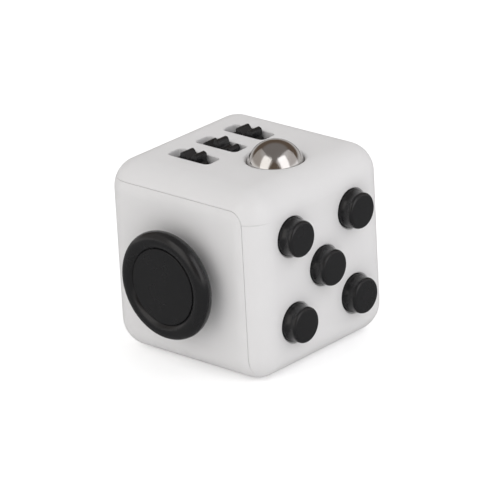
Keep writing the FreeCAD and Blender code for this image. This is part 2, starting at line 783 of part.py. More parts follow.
def make_gear(name):
    """A wheel with broad rounded teeth on the common axle."""
    pitch = 2 * math.pi / gear_teeth
    corners = []
    for i in range(gear_teeth):
        middle = (i + GEAR_TURN[name]) * pitch
        for radius, offset, rounding in (
                (gear_root_radius, -(1 - gear_root_share) * pitch / 2, gear_root_rounding),
                (gear_tip_radius, -gear_tip_share * pitch / 2, gear_tip_rounding),
                (gear_tip_radius, gear_tip_share * pitch / 2, gear_tip_rounding),
                (gear_root_radius, (1 - gear_root_share) * pitch / 2, gear_root_rounding)):
            angle = middle + offset
            corners.append((radius * math.sin(angle), radius * math.cos(angle), rounding))
    start = GEARS[name] - gear_width / 2
    face = Part.Face(loop(corners, lambda a, b: Vector(gear_row_x + a, start, b - gear_axle_depth)))
    wheel = face.extrude(Vector(0, gear_width, 0))
    bore = cross_rod(gear_axle_radius + gear_bore_clearance,
                     Vector(gear_row_x, start - 1, -gear_axle_depth),
                     Vector(gear_row_x, start + gear_width + 1, -gear_axle_depth))
    return wheel.cut(bore)


def make_gear_axle():
    """The steel axle of all three wheels."""
    return cross_rod(gear_axle_radius, Vector(gear_row_x, -axle_half_length, -gear_axle_depth),
                     Vector(gear_row_x, axle_half_length, -gear_axle_depth))


def cradle_screw_places():
    """Where the cradle's screws are, along the axle."""
    return (-cradle_screw_y, cradle_screw_y)


def make_gear_cradle():
    """The bracket under the wheels: a floor, four ribs with saddles for the axle, and two lugs."""
    top = -wall - part_gap
    low = -gear_axle_depth - gear_tip_radius - cradle_floor_clearance - cradle_floor
    length = 2 * cradle_half_length
    body = slab(gear_row_x, 0, 2 * cradle_half_width, length, low, top, 0.6)
    for y in cradle_screw_places():
        body = body.fuse(slab(gear_row_x, y, cradle_lug_width, 2 * boss_radius,
                              top - cradle_lug_thickness, top, 0.6))
    cuts = []
    for y in GEARS.values():
        cuts.append(slab(gear_row_x, y, 4 * cradle_half_width, slot_width, low + cradle_floor, 1))
    cuts.append(cross_rod(gear_axle_radius + part_gap / 2,
                          Vector(gear_row_x, -axle_half_length - part_gap, -gear_axle_depth),
                          Vector(gear_row_x, axle_half_length + part_gap, -gear_axle_depth)))
    for y in cradle_screw_places():
        cuts.append(rod(screw_radius + screw_clearance, gear_row_x, y, low, 1))
    return body.cut(cuts).removeSplitter()


def make_cradle_screws():
    """The screws through the cradle's lugs."""
    seat = -wall - part_gap - cradle_lug_thickness
    length = cradle_lug_thickness + part_gap + screw_bite
    return Part.makeCompound([screw(gear_row_x, y, seat, length) for y in cradle_screw_places()])


# ---------------------------------------------------------------- rolling ball
def ball_openings():
    """The ball's mouth: a rounded lip a little smaller than the ball, and a roomier bore behind it."""
    throat = ball_radius - ball_throat_grip
    mouth_radius = throat + ball_lip
    bend = ball_lip * math.sqrt(0.5)
    rim = Part.Arc(Vector(throat, 0, -ball_lip), Vector(mouth_radius - bend, 0, bend - ball_lip),
                   Vector(mouth_radius, 0, 0))
    corners = [Vector(mouth_radius, 0, 0), Vector(mouth_radius, 0, 1), Vector(0, 0, 1),
               Vector(0, 0, -ball_lip), Vector(throat, 0, -ball_lip)]
    mouth = Part.Face(Part.Wire([rim.toShape()] + Part.makePolygon(corners).Edges))
    mouth = mouth.revolve(Vector(0, 0, 0), Vector(0, 0, 1), 360)
    mouth.translate(Vector(ball_x, 0, 0))
    seat = ball(ball_radius + ball_clearance, ball_x, 0, -ball_sink)
    bore = rod(ball_radius + ball_clearance, ball_x, 0, -wall - 1, -ball_sink)
    return [mouth, seat, bore]


def top_screw_holes():
    """The holes for the cradle's and the ball housing's screws."""
    places = [(gear_row_x, y) for y in cradle_screw_places()] + list(housing_screw_places())
    return [screw_hole(x, y, -wall - 0.1, screw_bite + 0.2) for x, y in places]


def housing_screw_places():
    """Where the ball housing's screws are."""
    reach = ball_radius + ball_clearance + housing_flange_rim + housing_lug_reach
    return ((ball_x - housing_lug_back, -reach), (ball_x - housing_lug_back, reach))


def make_steel_ball():
    """The ball."""
    return ball(ball_radius, ball_x, 0, -ball_sink)


def make_ball_cup():
    """The sliding cup that carries the ball."""
    skirt_end = cup_seat_bottom - cup_skirt_length
    cup = lathe([(0, cup_seat_bottom, 0), (cup_radius - cup_skirt_thickness, cup_seat_bottom, 0),
                 (cup_radius - cup_skirt_thickness, skirt_end, 0.15), (cup_radius, skirt_end, 0.25),
                 (cup_radius, cup_top, 0.15), (0, cup_top, 0)], ball_x, 0)
    return cup.cut(ball(ball_radius + cup_seat_clearance, ball_x, 0, -ball_sink))


def make_ball_spring():
    """The spring under the cup."""
    gap = part_gap / 2
    return coil(ball_spring_radius, ball_spring_wire, ball_spring_turns, housing_bottom + gap,
                ball_spring_height, ball_x, 0)


def make_ball_housing():
    """The sleeve that guides the cup, hung from the top wall by two lugs."""
    top = -wall - part_gap
    bore = ball_radius + ball_clearance
    flange_low = top - housing_flange_thickness
    outer = bore + housing_flange_rim
    low = housing_bottom - housing_floor
    body = lathe([(0, low, 0), (housing_tube_radius, low, 0.5),
                  (housing_tube_radius, housing_step, 0), (outer, housing_step + housing_flare, 0),
                  (outer, top, 0), (0, top, 0)], ball_x, 0)
    for x, y in housing_screw_places():
        lug = rod(boss_radius, x, y, flange_low, top)
        arm = slab((x + ball_x) / 2, y * 0.75, abs(ball_x - x), abs(y) * 0.5, flange_low, top)
        body = body.fuse([lug, arm])
    inside = lathe([(0, housing_bottom, 0), (housing_bore_radius, housing_bottom, 0),
                    (housing_bore_radius, housing_step, 0), (bore, housing_step + housing_flare, 0),
                    (bore, top + 1, 0), (0, top + 1, 0)], ball_x, 0)
    sphere_room = ball(ball_radius + ball_clearance, ball_x, 0, -ball_sink - ball_travel)
    cuts = [inside, sphere_room]
    for x, y in housing_screw_places():
        cuts.append(rod(screw_radius + screw_clearance, x, y, flange_low - 1, top + 1))
    return body.cut(cuts).removeSplitter()


def make_housing_screws():
    """The screws through the housing's lugs."""
    seat = -wall - part_gap - housing_flange_thickness
    length = housing_flange_thickness + part_gap + screw_bite
    return Part.makeCompound([screw(x, y, seat, length) for x, y in housing_screw_places()])


# ---------------------------------------------------------------- the whole object
def build():
    """Every sub-part by node name, in the cube's own frame."""
    upper, lower = make_casing()
    nodes = {"upper_shell": make_upper_shell(upper), "lower_shell": make_lower_shell(lower)}
    right = {"button_plate": make_button_plate(), "button_plate_screws": make_plate_screws()}
    for name, (x, y) in BUTTONS.items():
        right["button_" + name] = make_button(x, y)
        right["button_spring_" + name] = make_button_spring(x, y)
        if name in CLICKING:
            right["click_dome_" + name] = make_click_dome(x, y)
    front = {"thumb_disc": make_thumb_disc(), "joystick_spring": make_stick_spring(),
             "joystick_washer": make_stick_washer(), "joystick_screw": make_stick_screw()}
    back = {"spin_dial": make_spin_dial(), "dial_washer": make_dial_washer(),
            "dial_screw": make_dial_screw()}
    left = {"rocker": make_rocker(), "rocker_pin": make_rocker_pin(),
            "rocker_bracket": make_rocker_bracket(), "rocker_bracket_screws": make_bracket_screws(),
            "rocker_leaf_spring": make_leaf_spring()}
    top = {"gear_axle": make_gear_axle(), "gear_cradle": make_gear_cradle(),
           "gear_cradle_screws": make_cradle_screws(), "steel_ball": make_steel_ball(),
           "ball_cup": make_ball_cup(), "ball_spring": make_ball_spring(),
           "ball_housing": make_ball_housing(), "ball_housing_screws": make_housing_screws()}
    for name in GEARS:
        top["gear_wheel_" + name] = make_gear(name)
    for face, pieces in (("right", right), ("back", back), ("left", left), ("top", top)):
        for name, shape in pieces.items():
            nodes[name] = place(shape, face)
    for name, shape in front.items():
        nodes[name] = place_stick(shape)
    return nodes


def main():
    os.makedirs("parts", exist_ok=True)
    for name, shape in build().items():
        if not shape.isValid() or not shape.Solids:
            raise ValueError(name + " is not a valid solid")
        shape.exportStep("parts/" + name + ".step")
        print(name, len(shape.Solids), round(shape.Volume, 2))


main()
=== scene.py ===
"""Looks of a pocket fidget cube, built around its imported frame."""

import logging
import math
from dataclasses import dataclass
from enum import Enum

import bmesh
import bpy
from mathutils import Matrix, Vector


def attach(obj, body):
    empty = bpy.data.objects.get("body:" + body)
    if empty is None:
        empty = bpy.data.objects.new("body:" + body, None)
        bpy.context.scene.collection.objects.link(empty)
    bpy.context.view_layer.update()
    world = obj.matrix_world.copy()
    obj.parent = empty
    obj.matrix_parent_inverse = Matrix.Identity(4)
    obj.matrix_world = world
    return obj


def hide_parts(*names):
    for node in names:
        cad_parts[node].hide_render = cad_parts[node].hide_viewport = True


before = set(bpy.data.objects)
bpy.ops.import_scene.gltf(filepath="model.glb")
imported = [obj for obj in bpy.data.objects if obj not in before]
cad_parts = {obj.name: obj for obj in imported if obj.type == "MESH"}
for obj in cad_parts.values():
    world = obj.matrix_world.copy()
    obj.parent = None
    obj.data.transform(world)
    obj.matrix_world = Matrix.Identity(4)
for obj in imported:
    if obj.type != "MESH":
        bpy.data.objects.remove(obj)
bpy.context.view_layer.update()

logging.basicConfig(level=logging.INFO, format="%(levelname)s %(message)s")
LOG = logging.getLogger("fidget_cube")
MM = 0.001
SIDE = 33.0 * MM
HALF = SIDE / 2
PARTING_HEIGHT = 27.9 * MM
Colour = tuple[float, float, float]


class Face(Enum):
    """The faces that carry new pieces, each as its right, up and outward directions."""

    TOP = ((1, 0, 0), (0, 1, 0), (0, 0, 1))
    RIGHT = ((0, 1, 0), (0, 0, 1), (1, 0, 0))
    FRONT = ((1, 0, 0), (0, 0, 1), (0, -1, 0))

    def matrix(self, right: float = 0.0, up: float = 0.0) -> Matrix:
        """Gives the placing matrix of a point on this face.

        Args:
            right: Distance to the right of the face's middle, in metres.
            up: Distance above the face's middle, in metres.

        Returns:
            The matrix from a piece's own frame, with Z out of the face, to the cube.
        """
        axes = Matrix([Vector(axis) for axis in self.value]).transposed()
        out = axes.col[2]
        origin = Vector((0, 0, HALF)) + out * HALF + axes.col[0] * right + axes.col[1] * up
        return Matrix.Translation(origin) @ axes.to_4x4()


# ------------------------------------------------------------------ shader building
class Graph:
    """A thin wrapper that adds and links the nodes of one shader tree."""

    def __init__(self, tree: bpy.types.NodeTree) -> None:
        """Keeps the tree that the nodes go to."""
        self.tree = tree

    def node(self, kind: str, settings: dict | None = None, **inputs: object) -> bpy.types.Node:
        """Adds one node.

        Args:
            kind: The node's type name, such as ShaderNodeMath.
            settings: Properties to set on the node itself.
            **inputs: Values or output sockets for its inputs. Underscores in a name stand for
                spaces, and a name like in0 means an input by number.

        Returns:
            The new node.
        """
        made = self.tree.nodes.new(kind)
        for key, value in (settings or {}).items():
            setattr(made, key, value)
        for key, value in inputs.items():
            numbered = key.startswith("in") and key[2:].isdigit()
            socket = made.inputs[int(key[2:])] if numbered else made.inputs[key.replace("_", " ")]
            if isinstance(value, bpy.types.NodeSocket):
                self.tree.links.new(value, socket)
            else:
                socket.default_value = value
        return made

    def math(self, operation: str, first: object, second: object = 0.0,
             clamp: bool = False) -> bpy.types.NodeSocket:
        """Adds a Math node and gives its result."""
        settings = {"operation": operation, "use_clamp": clamp}
        return self.node("ShaderNodeMath", settings, in0=first, in1=second).outputs[0]

    def step(self, value: object, low: float, high: float, to_low: float = 0.0,
             to_high: float = 1.0) -> bpy.types.NodeSocket:
        """Adds a smooth Map Range node and gives its result."""
        made = self.node("ShaderNodeMapRange", {"interpolation_type": "SMOOTHSTEP"}, Value=value,
                         From_Min=low, From_Max=high, To_Min=to_low, To_Max=to_high)
        return made.outputs["Result"]

    def noise(self, vector: object, scale: float, detail: float) -> bpy.types.NodeSocket:
        """Adds a Noise Texture node and gives its value."""
        made = self.node("ShaderNodeTexNoise", None, Vector=vector, Scale=scale, Detail=detail)
        return made.outputs["Fac"]

    def blend(self, factor: object, first: object, second: object) -> bpy.types.NodeSocket:
        """Adds a colour Mix node and gives its result."""
        made = self.node("ShaderNodeMix", {"data_type": "RGBA"}, in0=factor)
        for socket, value in ((made.inputs[6], first), (made.inputs[7], second)):
            if isinstance(value, bpy.types.NodeSocket):
                self.tree.links.new(value, socket)
            else:
                socket.default_value = (*value, 1.0)
        return made.outputs[2]


class Group(Enum):
    """Effects that several finishes share, as shader node groups."""

    GRAIN = "moulded_grain"
    HANDLING = "handling_marks"
    CORNERS = "rubbed_corners"
    SCRATCHES = "hairline_scratches"

    def tree(self) -> bpy.types.NodeTree:
        """Gives the group's node tree, built at its first use."""
        found = bpy.data.node_groups.get(self.value)
        if found:
            return found
        made = bpy.data.node_groups.new(self.value, "ShaderNodeTree")
        builders = {Group.GRAIN: _grain, Group.HANDLING: _handling, Group.CORNERS: _corners,
                    Group.SCRATCHES: _scratches}
        builders[self](made)
        return made


def _sockets(tree: bpy.types.NodeTree, inputs: dict[str, float | None], outputs: tuple[str, ...]) -> tuple:
    """Makes a group's sockets.

    Args:
        tree: The group.
        inputs: Input names with their values, or None for a vector.
        outputs: Names of the value outputs.

    Returns:
        The graph, the group's input node and its output node.
    """
    for name, value in inputs.items():
        kind = "NodeSocketVector" if value is None else "NodeSocketFloat"
        socket = tree.interface.new_socket(name, in_out="INPUT", socket_type=kind)
        if value is not None:
            socket.default_value = value
    for name in outputs:
        tree.interface.new_socket(name, in_out="OUTPUT", socket_type="NodeSocketFloat")
    graph = Graph(tree)
    return graph, graph.node("NodeGroupInput"), graph.node("NodeGroupOutput")


def _grain(tree: bpy.types.NodeTree) -> None:
    """Builds the fine spark-eroded grain that a mould leaves on plastic."""
    graph, given, result = _sockets(tree, {"Vector": None, "Pitch": 5000.0}, ("Height", "Mottle"))
    cells = graph.node("ShaderNodeTexVoronoi", {"feature": "SMOOTH_F1"}, Vector=given.outputs["Vector"],
                       Scale=given.outputs["Pitch"])
    fine = graph.node("ShaderNodeTexNoise", None, Vector=given.outputs["Vector"],
                      Scale=given.outputs["Pitch"], Detail=3.0, Roughness=0.6)
    height = graph.math("ADD", graph.math("MULTIPLY", cells.outputs["Distance"], 0.6),
                        graph.math("MULTIPLY", fine.outputs["Fac"], 0.4))
    coarse = graph.math("MULTIPLY", given.outputs["Pitch"], 0.06)
    mottle = graph.node("ShaderNodeTexNoise", None, Vector=given.outputs["Vector"], Scale=coarse, Detail=4.0)
    tree.links.new(height, result.inputs["Height"])
    tree.links.new(mottle.outputs["Fac"], result.inputs["Mottle"])


def _handling(tree: bpy.types.NodeTree) -> None:
    """Builds soft finger smudges and a scatter of dust specks."""
    graph, given, result = _sockets(tree, {"Vector": None, "Size": 220.0}, ("Smudge", "Speck"))
    vector = given.outputs["Vector"]
    broad = graph.node("ShaderNodeTexNoise", None, Vector=vector, Scale=given.outputs["Size"], Detail=3.0,
                       Distortion=0.8)
    smudge = graph.step(broad.outputs["Fac"], 0.42, 0.68)
    dots = graph.node("ShaderNodeTexVoronoi", None, Vector=vector,
                      Scale=graph.math("MULTIPLY", given.outputs["Size"], 5.0))
    near = graph.step(dots.outputs["Distance"], 0.03, 0.09, 1.0, 0.0)
    rare = graph.node("ShaderNodeSeparateColor", None, Color=dots.outputs["Color"])
    speck = graph.math("MULTIPLY", near, graph.math("GREATER_THAN", rare.outputs[0], 0.86))
    tree.links.new(smudge, result.inputs["Smudge"])
    tree.links.new(speck, result.inputs["Speck"])


def _corners(tree: bpy.types.NodeTree) -> None:
    """Builds a mask of the cube's rounded edges, where hands and tables polish it."""
    graph, given, result = _sockets(tree, {"Vector": None, "Half": HALF, "Reach": 4.0 * MM}, ("Edge",))
    centred = graph.node("ShaderNodeVectorMath", {"operation": "SUBTRACT"}, in0=given.outputs["Vector"],
                         in1=(0.0, 0.0, HALF))
    parts = graph.node("ShaderNodeSeparateXYZ", None, Vector=graph.node(
        "ShaderNodeVectorMath", {"operation": "ABSOLUTE"}, in0=centred.outputs[0]).outputs[0])
    x, y, z = (parts.outputs[i] for i in range(3))
    pairs = [graph.math("ADD", a, b) for a, b in ((x, y), (y, z), (z, x))]
    furthest = graph.math("MAXIMUM", graph.math("MAXIMUM", pairs[0], pairs[1]), pairs[2])
    depth = graph.math("SUBTRACT", graph.math("MULTIPLY", given.outputs["Half"], 2.0), furthest)
    share = graph.math("DIVIDE", depth, given.outputs["Reach"])
    edge = graph.step(share, 0.75, 1.35, 1.0, 0.0)
    tree.links.new(edge, result.inputs["Edge"])


def _scratches(tree: bpy.types.NodeTree) -> None:
    """Builds sparse hairlines in two directions."""
    graph, given, result = _sockets(tree, {"Vector": None, "Pitch": 900.0}, ("Line",))
    lines = []
    for turn in (0.5, 1.9):
        turned = graph.node("ShaderNodeVectorRotate", {"rotation_type": "EULER_XYZ"},
                            Vector=given.outputs["Vector"], Rotation=(turn, 1.3 * turn, 0.7 * turn))
        stretched = graph.node("ShaderNodeVectorMath", {"operation": "MULTIPLY"}, in0=turned.outputs[0],
                               in1=(1.0, 0.03, 0.6))
        wave = graph.node("ShaderNodeTexNoise", None, Vector=stretched.outputs[0],
                          Scale=given.outputs["Pitch"], Detail=1.0)
        lines.append(graph.step(wave.outputs["Fac"], 0.70, 0.76))
    total = graph.math("MAXIMUM", lines[0], lines[1])
    tree.links.new(total, result.inputs["Line"])


# ------------------------------------------------------------------ finishes
@dataclass(frozen=True)
class Plastic:
    """A moulded plastic with grain, smudges, dust and rubbed edges."""

    name: str
    colour: Colour
    shade: Colour
    roughness: float
    rubbed: float
    grain_pitch: float
    grain_depth: float
    speck: Colour
    speck_share: float
    specular: float = 0.5
    parting_line: bool = False
    mottle_swing: float = 0.12
    smudge_gloss: float = 0.07
    line_depth: float = 6.0
    line_shade: float = 0.35

    def material(self) -> bpy.types.Material:
        """Gives the finish's material, built at its first use."""
        found = bpy.data.materials.get(self.name)
        if found:
            return found
        made, graph, shader = _blank(self.name)
        place = graph.node("ShaderNodeTexCoord").outputs["Object"]
        grain = _use(graph, Group.GRAIN, Vector=place, Pitch=self.grain_pitch)
        marks = _use(graph, Group.HANDLING, Vector=place)
        rub = _use(graph, Group.CORNERS, Vector=place)
        colour = graph.blend(grain.outputs["Mottle"], self.shade, self.colour)
        dust = graph.math("MULTIPLY", marks.outputs["Speck"], self.speck_share)
        colour = graph.blend(dust, colour, self.speck)
        height = grain.outputs["Height"]
        if self.parting_line:
            line = self._line(graph, place)
            height = graph.math("SUBTRACT", height, graph.math("MULTIPLY", line, self.line_depth))
            colour = graph.blend(graph.math("MULTIPLY", line, self.line_shade), colour,
                                 tuple(0.72 * c for c in self.shade))
        rough = graph.math("ADD", self.roughness, graph.math(
            "MULTIPLY", graph.math("SUBTRACT", grain.outputs["Mottle"], 0.5), self.mottle_swing))
        rough = graph.math("SUBTRACT", rough, graph.math(
            "MULTIPLY", marks.outputs["Smudge"], self.smudge_gloss))
        rough = graph.math("SUBTRACT", rough, graph.math("MULTIPLY", rub.outputs["Edge"], self.rubbed), True)
        bump = graph.node("ShaderNodeBump", None, Height=height, Strength=0.6, Distance=self.grain_depth)
        _feed(graph, shader, Base_Color=colour, Roughness=rough, Normal=bump.outputs[0])
        shader.inputs["Specular IOR Level"].default_value = self.specular
        return made

    def _line(self, graph: Graph, place: bpy.types.NodeSocket) -> bpy.types.NodeSocket:
        """Draws the faint line that the mould's two halves leave across one corner.

        Args:
            graph: The material's graph.
            place: Object coordinates.

        Returns:
            The line's mask.
        """
        parts = graph.node("ShaderNodeSeparateXYZ", None, Vector=place)
        x, y, z = (parts.outputs[i] for i in range(3))
        away = graph.math("ABSOLUTE", graph.math("SUBTRACT", z, PARTING_HEIGHT))
        thin = graph.step(away, 0.03 * MM, 0.14 * MM, 1.0, 0.0)
        fade = graph.step(y, -14.6 * MM, -11.8 * MM, 1.0, 0.0)
        side = graph.math("GREATER_THAN", x, 13.5 * MM)
        return graph.math("MULTIPLY", graph.math("MULTIPLY", thin, fade), side)


@dataclass(frozen=True)
class Steel:
    """A bare metal with brushed or polished micro-scratches and smudges."""

    name: str
    colour: Colour
    shade: Colour
    roughness: float
    scratch: float
    scratch_pitch: float
    depth: float

    def material(self) -> bpy.types.Material:
        """Gives the finish's material, built at its first use."""
        found = bpy.data.materials.get(self.name)
        if found:
            return found
        made, graph, shader = _blank(self.name)
        place = graph.node("ShaderNodeTexCoord").outputs["Object"]
        lines = _use(graph, Group.SCRATCHES, Vector=place, Pitch=self.scratch_pitch)
        marks = _use(graph, Group.HANDLING, Vector=place, Size=300.0)
        colour = graph.blend(graph.noise(place, 260.0, 4.0), self.shade, self.colour)
        rough = graph.math("ADD", self.roughness, graph.math("MULTIPLY", lines.outputs["Line"], self.scratch))
        smudge = graph.math("MULTIPLY", marks.outputs["Smudge"], 0.35 * self.scratch)
        rough = graph.math("ADD", rough, smudge, True)
        bump = graph.node("ShaderNodeBump", {"invert": True}, Height=lines.outputs["Line"], Strength=0.25,
                          Distance=self.depth)
        _feed(graph, shader, Base_Color=colour, Roughness=rough, Normal=bump.outputs[0])
        shader.inputs["Metallic"].default_value = 1.0
        return made


def _blank(name: str) -> tuple[bpy.types.Material, Graph, bpy.types.Node]:
    """Makes an empty material.

    Args:
        name: The material's name.

    Returns:
        The material, its graph and its Principled shader.
    """
    made = bpy.data.materials.new(name)
    made.use_nodes = True
    made.node_tree.nodes.clear()
    graph = Graph(made.node_tree)
    shader = graph.node("ShaderNodeBsdfPrincipled")
    graph.node("ShaderNodeOutputMaterial", None, Surface=shader.outputs[0])
    return made, graph, shader


def _use(graph: Graph, group: Group, **inputs: object) -> bpy.types.Node:
    """Places a shared group in a material and gives its node."""
    return graph.node("ShaderNodeGroup", {"node_tree": group.tree()}, **inputs)


def _feed(graph: Graph, shader: bpy.types.Node, **inputs: bpy.types.NodeSocket) -> None:
    """Links sockets to the shader's inputs."""
    for key, socket in inputs.items():
        graph.tree.links.new(socket, shader.inputs[key.replace("_", " ")])


class Finish(Enum):
    """Every finish on the object."""

    CASING = Plastic("off_white_soft_touch", (0.735, 0.727, 0.727), (0.705, 0.697, 0.697), 0.52, 0.10, 4200.0,
                     0.012 * MM, (0.62, 0.61, 0.60), 0.25, 0.4, True)
    CONTROL = Plastic("black_satin_plastic", (0.0145, 0.0145, 0.0152), (0.0115, 0.0115, 0.0122), 0.26, 0.0,
                      5200.0, 0.004 * MM, (0.16, 0.16, 0.16), 0.18, 0.38)
    INNER = Plastic("black_moulded_plastic", (0.055, 0.055, 0.06), (0.04, 0.04, 0.043), 0.55, 0.0, 3000.0,
                    0.010 * MM, (0.2, 0.2, 0.2), 0.2)
    BALL = Steel("polished_ball_steel", (0.66, 0.65, 0.64), (0.58, 0.565, 0.55), 0.12, 0.12, 1500.0,
                 0.001 * MM)
    SPRING = Steel("drawn_spring_steel", (0.56, 0.56, 0.58), (0.42, 0.41, 0.41), 0.28, 0.2, 2600.0,
                   0.004 * MM)
    SCREW = Steel("zinc_screw_steel", (0.50, 0.51, 0.54), (0.36, 0.36, 0.37), 0.34, 0.18, 1800.0, 0.004 * MM)
    AXLE = Steel("ground_axle_steel", (0.62, 0.62, 0.63), (0.50, 0.50, 0.51), 0.2, 0.2, 3200.0, 0.003 * MM)

    def material(self) -> bpy.types.Material:
        """Gives the finish's material."""
        return self.value.material()


# ------------------------------------------------------------------ shape building
class Turning:
    """A profile drawn from tangent lines and arcs, then turned round its Z axis.

    Points are (radius, height) in metres, in a frame with Z out of the cube's face.
    """

    def __init__(self, radius: float, height: float) -> None:
        """Starts the profile at one point."""
        self.mesh = bmesh.new()
        made = bmesh.ops.create_vert(self.mesh, co=(radius, 0.0, height))
        self.last = made["vert"][0]

    def line(self, radius: float, height: float) -> "Turning":
        """Draws a straight line to a point."""
        made = bmesh.ops.extrude_vert_indiv(self.mesh, verts=[self.last])
        self.last = made["verts"][0]
        self.last.co = (radius, 0.0, height)
        return self

    def arc(self, radius: float, height: float, degrees: float, steps: int = 10) -> "Turning":
        """Swings the last point round a centre.

        Args:
            radius: The centre's radius.
            height: The centre's height.
            degrees: Angle, anticlockwise with radius to the right and height up.
            steps: How many short edges the arc has.

        Returns:
            The profile itself.
        """
        made = bmesh.ops.spin(self.mesh, geom=[self.last], cent=(radius, 0.0, height), axis=(0.0, -1.0, 0.0),
                              angle=math.radians(degrees), steps=steps, use_merge=False, use_duplicate=False,
                              use_normal_flip=False, dvec=(0, 0, 0), space=Matrix.Identity(4))
        self.last = [item for item in made["geom_last"] if isinstance(item, bmesh.types.BMVert)][0]
        return self

    def turn(self, steps: int = 128) -> bmesh.types.BMesh:
        """Turns the profile a full circle and closes it.

        Args:
            steps: How many sides the circle has.

        Returns:
            The closed mesh.
        """
        drawn = self.mesh.verts[:] + self.mesh.edges[:]
        bmesh.ops.spin(self.mesh, geom=drawn, cent=(0, 0, 0), axis=(0, 0, 1), angle=math.tau, steps=steps,
                       use_merge=True, use_duplicate=False, use_normal_flip=False, dvec=(0, 0, 0),
                       space=Matrix.Identity(4))
        bmesh.ops.remove_doubles(self.mesh, verts=self.mesh.verts, dist=1e-7)
        bmesh.ops.recalc_face_normals(self.mesh, faces=self.mesh.faces)
        return self.mesh


def finish_piece(mesh: bmesh.types.BMesh, name: str, place: Matrix, finish: Finish, body: str,
                 node: str) -> bpy.types.Object:
    """Turns a mesh into a finished piece that stands for a CAD node.

    Args:
        mesh: The piece in its own frame.
        name: The piece's name.
        place: Where it goes.
        finish: Its finish.
        body: The body that it moves with.
        node: The CAD node that it stands for.

    Returns:
        The new object.
    """
    mesh.transform(place)
    data = bpy.data.meshes.new(name)
    mesh.to_mesh(data)
    mesh.free()
    data.shade_smooth()
    data.set_sharp_from_angle(angle=math.radians(32))
    data.materials.append(finish.material())
    piece = bpy.data.objects.new(name, data)
    bpy.context.scene.collection.objects.link(piece)
    weighted = piece.modifiers.new("even_normals", "WEIGHTED_NORMAL")
    weighted.keep_sharp = True
    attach(piece, body)
    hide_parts(node)
    LOG.info("%s: %d faces, rides on %s", name, len(data.polygons), body)
    return piece


def dress(nodes: tuple[str, ...], finish: Finish) -> None:
    """Gives CAD nodes a finish.

    Args:
        nodes: The nodes' names.
        finish: The finish that they share.
    """
    for name in nodes:
        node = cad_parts[name]
        if node.material_slots:
            for slot in node.material_slots:
                slot.material = finish.material()
        else:
            node.data.materials.append(finish.material())
        LOG.info("%s: dressed in %s", name, finish.value.name)


# ------------------------------------------------------------------ camera and studio
@dataclass
class Viewpoint:
    """A long lens that looks at the cube from above its front right edge."""

    azimuth: float = 42.456
    elevation: float = 21.917
    roll: float = -3.07
    distance: float = 685.836 * MM
    right: float = 0.366 * MM
    up: float = -1.062 * MM
    lens: float = 300.375
    sensor: float = 36.0

    def place(self) -> bpy.types.Object:
        """Makes the scene's camera.

        Returns:
            The camera object.
        """
        azimuth, elevation, roll = (math.radians(a) for a in (self.azimuth, self.elevation, self.roll))
        back = Vector((math.sin(azimuth) * math.cos(elevation), -math.cos(azimuth) * math.cos(elevation),
                       math.sin(elevation)))
        level = Vector((0, 0, 1)).cross(back).normalized()
        rise = back.cross(level)
        across = math.cos(roll) * level + math.sin(roll) * rise
        upward = math.cos(roll) * rise - math.sin(roll) * level
        data = bpy.data.cameras.new("viewpoint")
        data.lens = self.lens
        data.sensor_width = self.sensor
        data.clip_start = 0.01
        camera = bpy.data.objects.new("viewpoint", data)
        turn = Matrix((across, upward, back)).transposed().to_4x4()
        spot = back * self.distance + across * self.right + upward * self.up + Vector((0, 0, HALF))
        camera.matrix_world = Matrix.Translation(spot) @ turn
        bpy.context.scene.collection.objects.link(camera)
        bpy.context.scene.camera = camera
        return camera


@dataclass
class Softbox:
    """One rectangular studio light that faces the cube."""

    name: str
    azimuth: float
    elevation: float
    width: float
    height: float
    radiance: float
    colour: Colour = (1.0, 1.0, 1.0)
    mirrored: bool = True
    distance: float = 0.7

    def place(self) -> None:
        """Makes the light. Its width and height are angles, as seen from the cube."""
        data = bpy.data.lights.new(self.name, "AREA")
        data.shape = "RECTANGLE"
        data.size = 2 * self.distance * math.tan(math.radians(self.width) / 2)
        data.size_y = 2 * self.distance * math.tan(math.radians(self.height) / 2)
        data.energy = self.radiance * math.pi * data.size * data.size_y
        data.color = self.colour
        light = bpy.data.objects.new(self.name, data)
        azimuth, elevation = math.radians(self.azimuth), math.radians(self.elevation)
        away = Vector((math.sin(azimuth) * math.cos(elevation), -math.cos(azimuth) * math.cos(elevation),
                       math.sin(elevation)))
        light.location = away * self.distance + Vector((0, 0, HALF))
        light.rotation_euler = away.to_track_quat("Z", "Y").to_euler()
        light.visible_glossy = self.mirrored
        bpy.context.scene.collection.objects.link(light)


